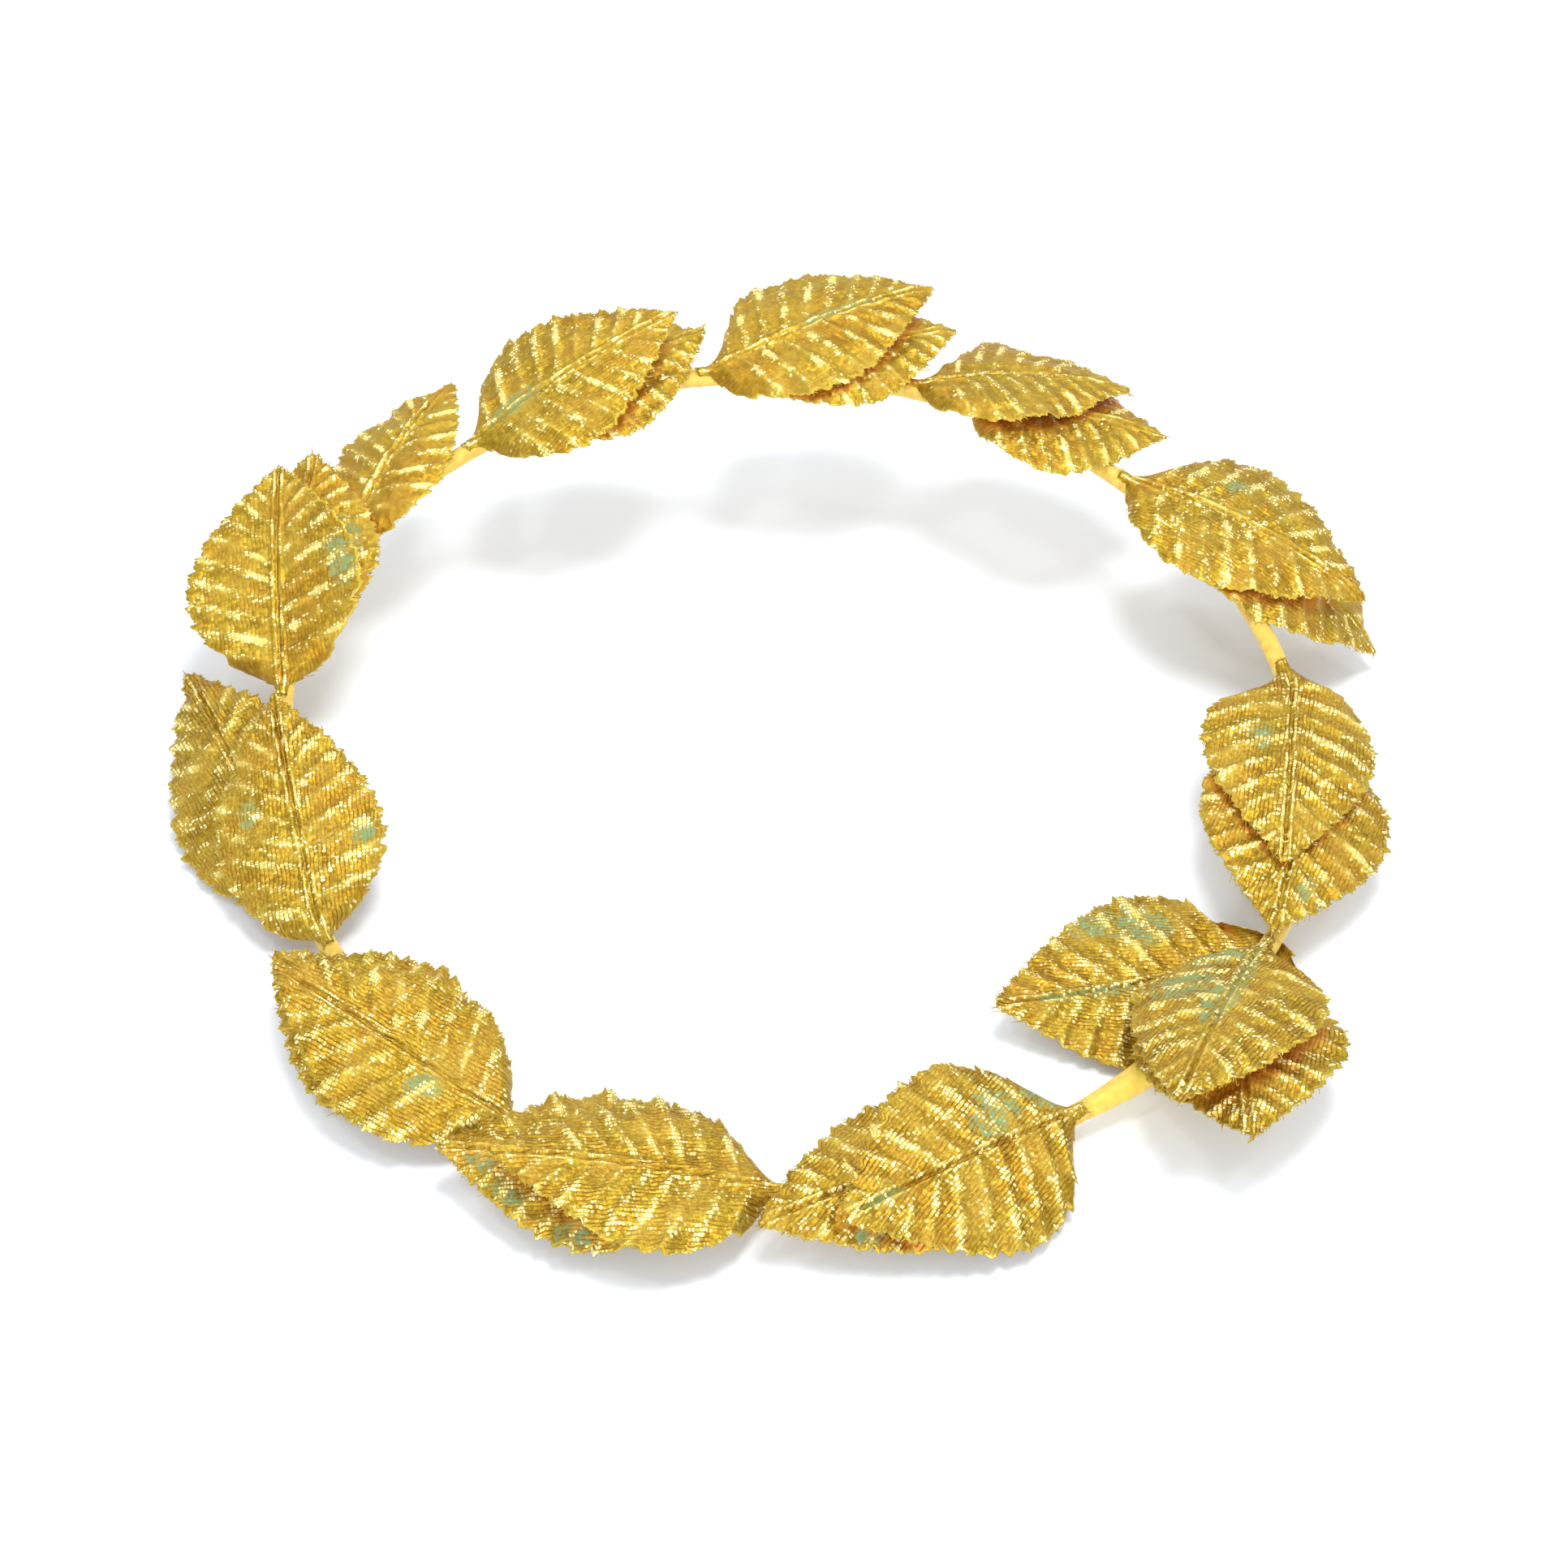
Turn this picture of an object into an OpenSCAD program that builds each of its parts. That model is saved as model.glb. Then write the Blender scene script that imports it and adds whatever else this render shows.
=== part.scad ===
// Laurel wreath crown: gold cloth leaves in pairs on a thin bound stem that is bent into a hoop.
// It lies with its leaves running clockwise as seen from above and its back raised.
// X points right, Y points back and Z points up. The origin is under the middle, where it rests.

/* [Stem] */
// Thickness of the stem with its paper binding
stem_d = 3.6; // [3:0.1:4.2]
// Mean radius of the hoop
hoop_r = 93; // [88:1:98]
// Rise of the hoop from its lowest to its highest part
hoop_rise = 33; // [28:1:38]
// Length of the splice where the two ends of the stem are bound
splice_l = 15; // [10:1:16]
// Thickness of the tape round the splice
splice_t = 0.65; // [0.5:0.05:0.9]

/* [Leaves] */
// Length of a full leaf
leaf_l = 52; // [48:0.5:56]
// Width of a full leaf
leaf_w = 31; // [27:0.5:34]
// Thickness of the cloth
leaf_t = 1; // [1:0.1:1.3]
// Width of the neck that sits on the stem
neck_w = 6.4; // [5:0.2:7]
// Depth of the teeth along the edges
tooth_h = 1; // [0.4:0.1:1.6]
// Height of the pressed side veins
vein_h = 0.3; // [0.1:0.05:0.5]
// Swell of each half between the midrib and the edge
pillow_h = 0.8; // [0.2:0.1:1.4]
// Distance along the stem from an upper leaf to the lower leaf of its pair
pair_step = 12; // [10:0.5:14]

/* [Hidden] */

// Clearance between the stem and the saddle of a leaf
seat_gap = 0.4;
// Clearance between the stem and the tape of the splice
splice_gap = 0.3;
// Straight length of a neck before it widens
seat_l = 2.5;
// Length over which a leaf turns away from the stem
turn_l = seat_l + 8;
// Length over which the saddle flattens into the blade
spread_l = 7;
// Half width left at a leaf's tip
tip_half = 0.3;
// How full the outline of a blade is, and how far its widest part lies toward the neck
outline_fullness = 0.95;
outline_shift = 0.8;
// How strongly the side veins sweep toward the tip
vein_sweep = 1.5;
// Depth of the grooves between the turns of the tape
tape_groove = 0.12;

// Sections along a leaf, and the places across it: edges, middles of the halves and midrib
leaf_steps = 20;
ACROSS = [-1, -0.5, 0, 0.5, 1];
// Rings and sides of the stem, and of the splice
stem_rings = 64;
stem_sides = 8;
splice_rings = 11;
splice_sides = 10;
// Where the splice starts, in degrees round the hoop, and the small turn used to find a tangent
splice_start = -53.4;
tangent_turn = 0.5;

stem_gold = "khaki";
leaf_gold = "goldenrod";

// The hoop is bent a little out of round. A row for every 30 degrees, counter-clockwise from +X
RADIUS = 0; // share of hoop_r
HEIGHT = 1; // share of hoop_rise
HOOP = [
    [1.045, 0.16],
    [1.070, 0.50],
    [1.030, 0.86],
    [1.005, 1.00],
    [1.040, 0.92],
    [1.112, 0.46],
    [0.990, 0.00],
    [0.930, 0.03],
    [0.935, 0.01],
    [0.950, 0.00],
    [0.930, 0.01],
    [0.980, 0.08]
];
hoop_turn = 360 / len(HOOP);

// A row for each leaf, in the order of NODES
NAME = 0;
STATION = 1; // place of its pair round the hoop, in degrees
ALONG = 2;   // distance past that place, share of pair_step
LENGTH = 3;  // share of leaf_l
WIDTH = 4;   // share of leaf_w
ROLL = 5;    // turn round the stem, outer edge up
YAW = 6;     // turn away from the stem, outward
LIFT = 7;    // turn away from the stem, upward
CURL = 8;    // turn from neck to tip, upward
CUP = 9;     // half angle of the arc across the blade, edges down
SEAT = 10;   // 1 sits on the stem, -1 hangs under it
LEAVES = [
    ["leaf_01_upper", -54.5, 0.00, 0.96, 1.04, -17, 0, 16, -14, 14, 1],
    ["leaf_01_lower", -54.5, 1.00, 0.94, 0.82, -8, -3, 11, -14, 20, 1],
    ["leaf_02_upper", -89.5, 0.00, 0.96, 0.90, 0, -3, 17, -14, 14, 1],
    ["leaf_02_lower", -89.5, 0.92, 0.92, 0.90, -6, 0, 10, -14, 20, 1],
    ["leaf_03_upper", -121, 0.00, 1.00, 0.87, -10, -2, 15, -8, 14, 1],
    ["leaf_03_lower", -121, 0.84, 0.90, 0.92, -14, 0, 7, -6, 20, 1],
    ["leaf_04_upper", -158, 0.00, 1.06, 0.86, -6, -15, 22, -10, 14, 1],
    ["leaf_04_lower", -158, 0.75, 1.28, 0.92, -20, 0, 21, -24, 20, 1],
    ["leaf_05_upper", -195.5, 0.00, 0.94, 1.00, -12, 3, 20, -26, -12, 1],
    ["leaf_05_lower", -195.5, 0.74, 0.86, 0.92, -12, 5, 14, -25, 16, 1],
    ["leaf_06_upper", -214, 0.00, 0.90, 0.72, -12, 14, 13, -34, 14, 1],
    ["leaf_07_upper", -231, 0.00, 0.95, 0.96, 5, 0, 16, -24, 14, 1],
    ["leaf_07_lower", -231, 0.84, 0.84, 0.94, 4, 4, 6, -20, 20, 1],
    ["leaf_08_upper", -259.5, 0.00, 1.00, 1.00, 2, 18, 19, -26, 14, 1],
    ["leaf_08_lower", -259.5, 0.90, 0.82, 0.90, 0, 15, 12.5, -20, 20, 1],
    ["leaf_09_upper", -285, 0.00, 0.88, 0.94, -13, 18, 20, -34, 14, 1],
    ["leaf_09_lower", -285, 0.84, 0.82, 1.06, -5, 12, 6, -16, 20, 1],
    ["leaf_10_upper", -312.5, 0.00, 1.04, 1.04, -2, 10, 21, -38, 14, 1],
    ["leaf_10_lower", -312.5, 1.02, 0.98, 1.00, -14, 27, 20, -56, 20, 1],
    ["leaf_11_upper", -342, 0.00, 1.00, 0.92, 0, -24, 22, -22, 14, 1],
    ["leaf_11_lower", -342, 1.25, 0.99, 1.02, -4, -20, 16, -16, 20, 1],
    ["leaf_12_upper", -381.5, 0.00, 1.02, 0.96, 12, 9, 22, -18, 14, 1],
    ["leaf_12_lower", -381.5, 0.75, 0.86, 1.06, 6, 33, 17, -16, 20, 1],
    ["leaf_12_inner", -381.5, -0.42, 1.08, 1.20, -6, -48, -10, 17, 10, -1]
];

// General helpers
function unit(v) = v / norm(v);
function ease(t) = let (c = max(0, min(1, t))) c * c * (3 - 2 * c);
function through(a, b, c, d, t) =
    0.5 * (2 * b + (c - a) * t + (2 * a - 5 * b + 4 * c - d) * t * t
        + (3 * b - a - 3 * c + d) * t * t * t);
function column(table, row, name) = table[(row + len(table)) % len(table)][name];
function degrees_of_arc(length, radius) = length / radius * 180 / PI;

// Centre line of the hoop
function hoop_share(turn, name) =
    let (whole = floor(turn / hoop_turn), t = turn / hoop_turn - whole, row = whole % len(HOOP))
    through(column(HOOP, row - 1, name), column(HOOP, row, name),
        column(HOOP, row + 1, name), column(HOOP, row + 2, name), t);
function hoop_point(turn) =
    let (r = hoop_r * hoop_share(turn, RADIUS))
    [r * cos(turn), r * sin(turn), hoop_rise * hoop_share(turn, HEIGHT)];
function hoop_radius(turn) = hoop_r * hoop_share(turn, RADIUS);

// Axes at a place on the hoop: along it clockwise, outward and up, rolled round the stem
function hoop_axes(turn, roll) =
    let (along = unit(hoop_point(turn - tangent_turn) - hoop_point(turn + tangent_turn)),
        up = unit([0, 0, 1] - along[2] * along),
        out = cross(up, along))
    [along, cos(roll) * out + sin(roll) * up, cos(roll) * up - sin(roll) * out];
function placed(p, axes, base) = base + p[0] * axes[0] + p[1] * axes[1] + p[2] * axes[2];

// Leaf: the midrib leaves the stem along its tangent, turns away and curls
function leaf_row(name) = LEAVES[search([name], LEAVES)[0]];
function leaf_turn(row) =
    row[STATION] - degrees_of_arc(row[ALONG] * pair_step, hoop_radius(row[STATION]));
function leaf_length(row) = leaf_l * row[LENGTH];
function leaf_heading(row, u) =
    let (e = ease(u * leaf_length(row) / turn_l))
    [row[YAW] * e, row[LIFT] * e + row[CURL] * u];
function toward(heading) =
    [cos(heading[1]) * cos(heading[0]), cos(heading[1]) * sin(heading[0]), sin(heading[1])];
function saddle_radius() = stem_d / 2 + seat_gap + leaf_t / 2;
function midrib(row) =
    let (step = leaf_length(row) / leaf_steps)
    [for (i = 0, m = [0, 0, row[SEAT] * saddle_radius()];
        i <= leaf_steps;
        m = m + step * toward(leaf_heading(row, (i + 0.5) / leaf_steps)), i = i + 1) m];

// Half width of a blade at a distance from its neck
function blade_half(row, x) =
    let (t = max(0, min(1, (x - seat_l) / (leaf_length(row) - seat_l))))
    leaf_w * row[WIDTH] / 2 * pow(sin(180 * pow(t, outline_shift)), outline_fullness)
        + neck_w / 2 * (1 - t) + tip_half;
function swept(u) = 1 - pow(1 - u, vein_sweep);

// Across a blade: an arc whose half angle runs from the saddle to the cup of the leaf
function arc_side(half, angle, v) =
    abs(angle) < 0.01 ? half * v : half * 180 / (PI * angle) * sin(angle * v);
function arc_drop(half, angle, v) =
    abs(angle) < 0.01 ? 0 : half * 180 / (PI * angle) * (cos(angle * v) - 1);

// One section: its points along the swept veins, raised or sunk by the veins, on one face
function leaf_section(row, m, i, face) =
    let (u = i / leaf_steps,
        heading = leaf_heading(row, u),
        ahead = toward(heading),
        side = [-sin(heading[0]), cos(heading[0]), 0],
        normal = cross(ahead, side),
        x = swept(u) * leaf_length(row),
        half = blade_half(row, x),
        open = ease((x - seat_l) / spread_l),
        saddle = row[SEAT] * degrees_of_arc(neck_w / 2, saddle_radius()),
        angle = saddle * (1 - open) + row[CUP] * open,
        odd = i % 2 == 0 ? -1 : 1,
        fade = open * (1 - u),
        toothed = 1 + odd * tooth_h / 2 * fade / half)
    [for (v = ACROSS)
        let (off = normal * cos(angle * v) + side * sin(angle * v),
            relief = v == 0 ? 0 : odd * vein_h + (abs(v) < 1 ? pillow_h : 0))
        m + ahead * (x - u * leaf_length(row)) * abs(v)
            + side * arc_side(half, angle, v) * (abs(v) < 1 ? 1 : toothed)
            + normal * arc_drop(half, angle, v)
            + off * (relief * fade + face * leaf_t / 2)];
function leaf_points(row) =
    let (mids = midrib(row),
        turn = leaf_turn(row),
        axes = hoop_axes(turn, row[ROLL]),
        base = hoop_point(turn))
    [for (face = [1, -1]) for (i = [0 : leaf_steps])
        for (p = leaf_section(row, mids[i], i, face)) placed(p, axes, base)];

// Triangles of a leaf: both faces split alike on the two sides of the midrib, edges and ends
function leaf_faces() =
    let (k = len(ACROSS), under = (leaf_steps + 1) * k)
    [for (i = [0 : leaf_steps - 1]) for (j = [0 : k - 2])
        let (a = i * k + j, b = a + 1, c = a + k, d = c + 1)
        each (j < (k - 1) / 2
            ? [[a, d, c], [a, b, d], [under + a, under + d, under + b], [under + a, under + c, under + d]]
            : [[a, b, c], [b, d, c], [under + a, under + c, under + b], [under + b, under + c, under + d]]),
    for (i = [0 : leaf_steps - 1])
        let (a = i * k, c = a + k, b = a + k - 1, d = c + k - 1)
        each [[a, under + c, under + a], [a, c, under + c], [b, under + d, d], [b, under + b, under + d]],
    for (j = [0 : k - 2])
        let (a = j, c = leaf_steps * k + j)
        each [[a, under + a + 1, a + 1], [a, under + a, under + a + 1],
            [c, under + c + 1, under + c], [c, c + 1, under + c + 1]]];

// The whole wreath is moved so that it rests on Z = 0 with its middle over the origin
ALL_POINTS = [for (row = LEAVES) each leaf_points(row)];
function lowest(axis) = min([for (p = ALL_POINTS) p[axis]]);
function highest(axis) = max([for (p = ALL_POINTS) p[axis]]);
ORIGIN = [(lowest(0) + highest(0)) / 2, (lowest(1) + highest(1)) / 2, lowest(2)];

// A ring of points round the hoop's centre line
function ring(turn, radius, sides) =
    let (axes = hoop_axes(turn, 0), base = hoop_point(turn))
    [for (s = [0 : sides - 1])
        let (q = 360 * s / sides)
        placed([0, radius * sin(q), radius * cos(q)], axes, base)];
// Triangles between two rings whose first points are a and c
function band(a, c, sides) =
    [for (s = [0 : sides - 1])
        let (t = (s + 1) % sides)
        each [[a + s, c + t, c + s], [a + s, a + t, c + t]]];

module hoop_stem() {
    points = [for (i = [0 : stem_rings - 1]) each ring(-360 * i / stem_rings, stem_d / 2, stem_sides)];
    faces = [for (i = [0 : stem_rings - 1])
        each band(i * stem_sides, (i + 1) % stem_rings * stem_sides, stem_sides)];
    color(stem_gold) translate(-ORIGIN) polyhedron(points, faces);
}

// The tape of the splice: a sleeve of rings, grooved between the turns of the tape
module splice_wrap() {
    inner_r = (stem_d / 2 + splice_gap) / cos(180 / splice_sides);
    outer_r = stem_d / 2 + splice_gap + splice_t;
    splice_turn = degrees_of_arc(splice_l, hoop_radius(splice_start));
    turns = [for (i = [0 : splice_rings - 1])
        splice_start + splice_turn * (1 - i / (splice_rings - 1))];
    outer = [for (i = [0 : splice_rings - 1])
        each ring(turns[i], outer_r - (i % 2) * tape_groove, splice_sides)];
    inner = [for (turn = turns) each ring(turn, inner_r, splice_sides)];
    within = len(outer);
    last = (splice_rings - 1) * splice_sides;
    sides = [for (i = [0 : splice_rings - 2])
        let (a = i * splice_sides, c = a + splice_sides)
        each concat(band(a, c, splice_sides), band(within + c, within + a, splice_sides))];
    ends = concat(band(within, 0, splice_sides), band(last, within + last, splice_sides));
    color(stem_gold) translate(-ORIGIN) polyhedron(concat(outer, inner), concat(sides, ends));
}

module leaf(name) {
    color(leaf_gold) translate(-ORIGIN) polyhedron(leaf_points(leaf_row(name)), leaf_faces());
}

hoop_stem();
splice_wrap();
leaf("leaf_01_upper");  // leaf_01_upper
leaf("leaf_01_lower");  // leaf_01_lower
leaf("leaf_02_upper");  // leaf_02_upper
leaf("leaf_02_lower");  // leaf_02_lower
leaf("leaf_03_upper");  // leaf_03_upper
leaf("leaf_03_lower");  // leaf_03_lower
leaf("leaf_04_upper");  // leaf_04_upper
leaf("leaf_04_lower");  // leaf_04_lower
leaf("leaf_05_upper");  // leaf_05_upper
leaf("leaf_05_lower");  // leaf_05_lower
leaf("leaf_06_upper");  // leaf_06_upper
leaf("leaf_07_upper");  // leaf_07_upper
leaf("leaf_07_lower");  // leaf_07_lower
leaf("leaf_08_upper");  // leaf_08_upper
leaf("leaf_08_lower");  // leaf_08_lower
leaf("leaf_09_upper");  // leaf_09_upper
leaf("leaf_09_lower");  // leaf_09_lower
leaf("leaf_10_upper");  // leaf_10_upper
leaf("leaf_10_lower");  // leaf_10_lower
leaf("leaf_11_upper");  // leaf_11_upper
leaf("leaf_11_lower");  // leaf_11_lower
leaf("leaf_12_upper");  // leaf_12_upper
leaf("leaf_12_lower");  // leaf_12_lower
leaf("leaf_12_inner");  // leaf_12_inner
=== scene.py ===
"""Laurel wreath crown: woven metallic leaves with pressed veins on a paper-bound stem."""
import math
import random

import bpy
import numpy as np
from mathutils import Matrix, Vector
from mathutils.bvhtree import BVHTree


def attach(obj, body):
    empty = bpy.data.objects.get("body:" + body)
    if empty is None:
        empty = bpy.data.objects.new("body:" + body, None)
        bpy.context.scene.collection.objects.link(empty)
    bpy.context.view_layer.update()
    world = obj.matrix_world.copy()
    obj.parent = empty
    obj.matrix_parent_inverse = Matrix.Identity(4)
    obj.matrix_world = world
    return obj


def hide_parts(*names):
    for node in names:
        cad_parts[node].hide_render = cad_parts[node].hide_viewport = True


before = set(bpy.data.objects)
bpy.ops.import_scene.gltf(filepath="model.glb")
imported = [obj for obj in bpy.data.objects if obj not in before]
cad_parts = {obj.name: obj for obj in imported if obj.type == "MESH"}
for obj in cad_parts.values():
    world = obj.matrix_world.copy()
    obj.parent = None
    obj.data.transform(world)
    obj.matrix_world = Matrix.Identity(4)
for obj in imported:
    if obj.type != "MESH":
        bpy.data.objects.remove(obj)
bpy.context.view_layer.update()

# The part's own sizes, in millimetres and degrees
MM = 0.001
STEM_D = 3.6
HOOP_R = 93.0
HOOP_RISE = 33.0
TANGENT_TURN = 0.5
SPLICE_START = -53.4
SPLICE_L = 15.0
SPLICE_T = 0.65
SPLICE_GAP = 0.3
LEAF_L = 52.0
LEAF_W = 31.0
LEAF_T = 1.0
PAIR_STEP = 12.0
NECK_W = 6.4
SEAT_L = 2.5
SEAT_GAP = 0.4
TURN_L = SEAT_L + 8
SPREAD_L = 7.0
TIP_HALF = 0.3
PILLOW_H = 0.8
OUTLINE_FULLNESS = 0.95
OUTLINE_SHIFT = 0.8
VEIN_SWEEP = 1.5
SADDLE_R = STEM_D / 2 + SEAT_GAP + LEAF_T / 2

# The middle of the wreath and its lowest place, measured from the middle of the hoop
ORIGIN = np.array((0.206, 7.047, -4.583))

# A row for every 30 degrees of the hoop: radius as a share of HOOP_R, height as a share of HOOP_RISE
RADIUS, HEIGHT = 0, 1
HOOP = [
    (1.045, 0.16),
    (1.070, 0.50),
    (1.030, 0.86),
    (1.005, 1.00),
    (1.040, 0.92),
    (1.112, 0.46),
    (0.990, 0.00),
    (0.930, 0.03),
    (0.935, 0.01),
    (0.950, 0.00),
    (0.930, 0.01),
    (0.980, 0.08),
]
HOOP_TURN = 360 / len(HOOP)

# A row for each leaf. STATION is its group's place round the hoop and ALONG how many PAIR_STEP it
# lies past that. LENGTH and WIDTH are shares of LEAF_L and LEAF_W. ROLL, YAW and LIFT turn it on the
# stem, CURL bends it along and CUP across. SEAT is 1 on top of the stem and -1 under it. The last
# columns are the looks: GRAIN is the angle of the threads to the midrib, RIB how strongly the midrib
# is pressed, CRUMPLE how uneven the cloth is, SATIN how far its threads lie closed to a smooth face
NAME, STATION, ALONG, LENGTH, WIDTH, ROLL, YAW, LIFT = range(8)
CURL, CUP, SEAT, GRAIN, RIB, CRUMPLE, SATIN = range(8, 15)
LEAVES = [
    ("leaf_01_upper", -54.5, 0.00, 0.96, 1.04, -17, 0, 16, -14, 14, 1, 23, 1.2, 1.0, 0.0),
    ("leaf_01_lower", -54.5, 1.00, 0.94, 0.82, -8, -3, 11, -14, 20, 1, 25, 0.8, 1.2, 0.0),
    ("leaf_02_upper", -89.5, 0.00, 0.96, 0.90, 0, -3, 17, -14, 14, 1, 7, 0.9, 1.0, 0.0),
    ("leaf_02_lower", -89.5, 0.92, 0.92, 0.90, -6, 0, 10, -14, 20, 1, 10, 0.8, 1.5, 0.0),
    ("leaf_03_upper", -121, 0.00, 1.00, 0.87, -10, -2, 15, -8, 14, 1, 5, 0.8, 1.1, 0.0),
    ("leaf_03_lower", -121, 0.84, 0.90, 0.92, -14, 0, 7, -6, 20, 1, 12, 0.8, 1.1, 0.0),
    ("leaf_04_upper", -158, 0.00, 1.06, 0.86, -6, -15, 22, -10, 14, 1, -6, 1.0, 1.0, 0.1),
    ("leaf_04_lower", -158, 0.75, 1.28, 0.92, -20, 0, 21, -24, 20, 1, 4, 0.8, 1.3, 0.1),
    ("leaf_05_upper", -195.5, 0.00, 0.94, 1.00, -12, 3, 20, -26, -12, 1, 3, 0.9, 1.0, 0.5),
    ("leaf_05_lower", -195.5, 0.74, 0.86, 0.92, -12, 5, 14, -25, 16, 1, 8, 0.8, 1.1, 0.7),
    ("leaf_06_upper", -214, 0.00, 0.90, 0.72, -12, 14, 13, -34, 14, 1, -4, 0.9, 0.9, 1.0),
    ("leaf_07_upper", -231, 0.00, 0.95, 0.96, 5, 0, 16, -24, 14, 1, 6, 0.9, 1.1, 0.5),
    ("leaf_07_lower", -231, 0.84, 0.84, 0.94, 4, 4, 6, -20, 20, 1, -6, 0.8, 1.1, 0.6),
    ("leaf_08_upper", -259.5, 0.00, 1.00, 1.00, 2, 18, 19, -26, 14, 1, 5, 0.9, 1.0, 0.75),
    ("leaf_08_lower", -259.5, 0.90, 0.82, 0.90, 0, 15, 12.5, -20, 20, 1, -8, 0.8, 1.1, 0.8),
    ("leaf_09_upper", -285, 0.00, 0.88, 0.94, -13, 18, 20, -34, 14, 1, 7, 0.9, 1.3, 0.8),
    ("leaf_09_lower", -285, 0.84, 0.82, 1.06, -5, 12, 6, -16, 20, 1, 3, 0.8, 1.1, 0.55),
    ("leaf_10_upper", -312.5, 0.00, 1.04, 1.04, -2, 10, 21, -38, 14, 1, -5, 0.9, 1.0, 0.3),
    ("leaf_10_lower", -312.5, 1.02, 0.98, 1.00, -14, 27, 20, -56, 20, 1, 6, 0.8, 1.2, 0.3),
    ("leaf_11_upper", -342, 0.00, 1.00, 0.92, 0, -24, 22, -22, 14, 1, -4, 1.1, 0.9, 0.1),
    ("leaf_11_lower", -342, 1.25, 0.99, 1.02, -4, -20, 16, -16, 20, 1, -10, 0.8, 1.2, 0.2),
    ("leaf_12_upper", -381.5, 0.00, 1.02, 0.96, 12, 9, 22, -18, 14, 1, -15, 1.1, 1.0, 0.0),
    ("leaf_12_lower", -381.5, 0.75, 0.86, 1.06, 6, 33, 17, -16, 20, 1, -12, 0.8, 1.2, 0.0),
    ("leaf_12_inner", -381.5, -0.42, 1.08, 1.20, -6, -48, -10, 17, 10, -1, -22, 1.0, 1.0, 0.0),
]

# Patches where the gold has rubbed off: leaf, place along it, place across it, length, width (shares)
WORN = [
    ("leaf_01_upper", 0.24, -0.38, 0.07, 0.20),
    ("leaf_01_upper", 0.33, -0.22, 0.06, 0.18),
    ("leaf_01_upper", 0.10, -0.45, 0.05, 0.25),
    ("leaf_01_upper", 0.84, 0.05, 0.09, 0.25),
    ("leaf_01_lower", 0.55, 0.80, 0.05, 0.14),
    ("leaf_02_lower", 0.78, 0.55, 0.09, 0.20),
    ("leaf_02_lower", 0.62, 0.78, 0.07, 0.16),
    ("leaf_02_lower", 0.36, 0.85, 0.06, 0.14),
    ("leaf_02_lower", 0.20, 0.80, 0.06, 0.16),
    ("leaf_03_upper", 0.30, 0.25, 0.05, 0.18),
    ("leaf_04_upper", 0.30, -0.75, 0.05, 0.14),
    ("leaf_04_upper", 0.46, 0.62, 0.05, 0.12),
    ("leaf_05_lower", 0.42, -0.62, 0.13, 0.20),
    ("leaf_05_lower", 0.30, -0.40, 0.07, 0.20),
    ("leaf_05_upper", 0.40, -0.80, 0.10, 0.16),
    ("leaf_07_upper", 0.24, 0.05, 0.12, 0.14),
    ("leaf_08_upper", 0.60, 0.06, 0.16, 0.10),
    ("leaf_10_lower", 0.90, -0.30, 0.06, 0.35),
    ("leaf_10_upper", 0.35, 0.45, 0.05, 0.12),
    ("leaf_11_lower", 0.74, 0.55, 0.07, 0.16),
    ("leaf_11_upper", 0.40, -0.35, 0.06, 0.14),
    ("leaf_12_upper", 0.14, -0.45, 0.06, 0.35),
    ("leaf_12_upper", 0.32, -0.50, 0.08, 0.34),
    ("leaf_12_upper", 0.46, -0.16, 0.14, 0.12),
    ("leaf_12_upper", 0.30, 0.03, 0.30, 0.10),
    ("leaf_12_inner", 0.36, -0.62, 0.09, 0.24),
    ("leaf_12_inner", 0.46, -0.86, 0.07, 0.18),
    ("leaf_12_inner", 0.66, 0.02, 0.15, 0.12),
    ("leaf_12_inner", 0.80, 0.05, 0.08, 0.16),
]

# The cloth shell: its thickness, how deep it sits on the stem, and the grid it is made on
CLOTH_T = 0.4
EDGE_T = 0.16
EDGE_POWER = 8
SADDLE_SINK = 0.25
MIDRIB_STEPS = 400
STEPS_PER_TOOTH = 9
ACROSS_HALF = 24
CENTRE_BIAS = 1.25

# The least bend across a leaf, so that a flat one has a radius too, and a length to step clear of 0
LEAST_ANGLE = 1e-4
NO_LENGTH = 1e-6

# The base of a leaf: the share of its width that the neck starts with, how much narrower the blade
# starts, and over what length each opens
NECK_PINCH = 0.55
NECK_OPENS = 8
WEDGE = 0.45
WEDGE_L = 5

# Pressed side veins and midrib: heights, widths and the veins' way from the midrib in millimetres,
# fades as shares of the leaf, the veins' waver as a share of the step between two
VEINS = 12
VEIN_H = 0.46
VEIN_SHARPNESS = 2.5
VEIN_MEAN = 0.34
VEIN_START = (0.7, 2.6)
VEIN_FADE = 0.2
VEIN_WAVER = 0.05
VEIN_WAVER_TURN = 9
VEIN_WAVER_PHASE = 3
VEIN_EVEN = 0.85
VEIN_UNEVEN = 0.3
RIB_H = 0.45
RIB_AT = 0.75
RIB_W = 0.38
RIB_FADE = 0.12
GROOVE_H = 0.35

# Unevenness of the cloth, in millimetres. Each kind of wave has a first phase, a number of waves and
# a pitch, of which the first wave takes the share WAVE_PITCH and each next one WAVE_PITCH_STEP more.
# OTHER_EDGE keeps the ruffles of a leaf's two edges unlike
PHASES = 40
UNEVEN_WAVES = (5, 3, 14)
WRINKLE_WAVES = (11, 6, 4.5)
RUFFLE_WAVES = (21, 3, 11)
WAVE_PITCH = 0.7
WAVE_PITCH_STEP = 0.25
WRINKLE_H = 0.16
RUFFLE_H = 0.45
RUFFLE_POWER = 3
OTHER_EDGE = 40

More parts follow.
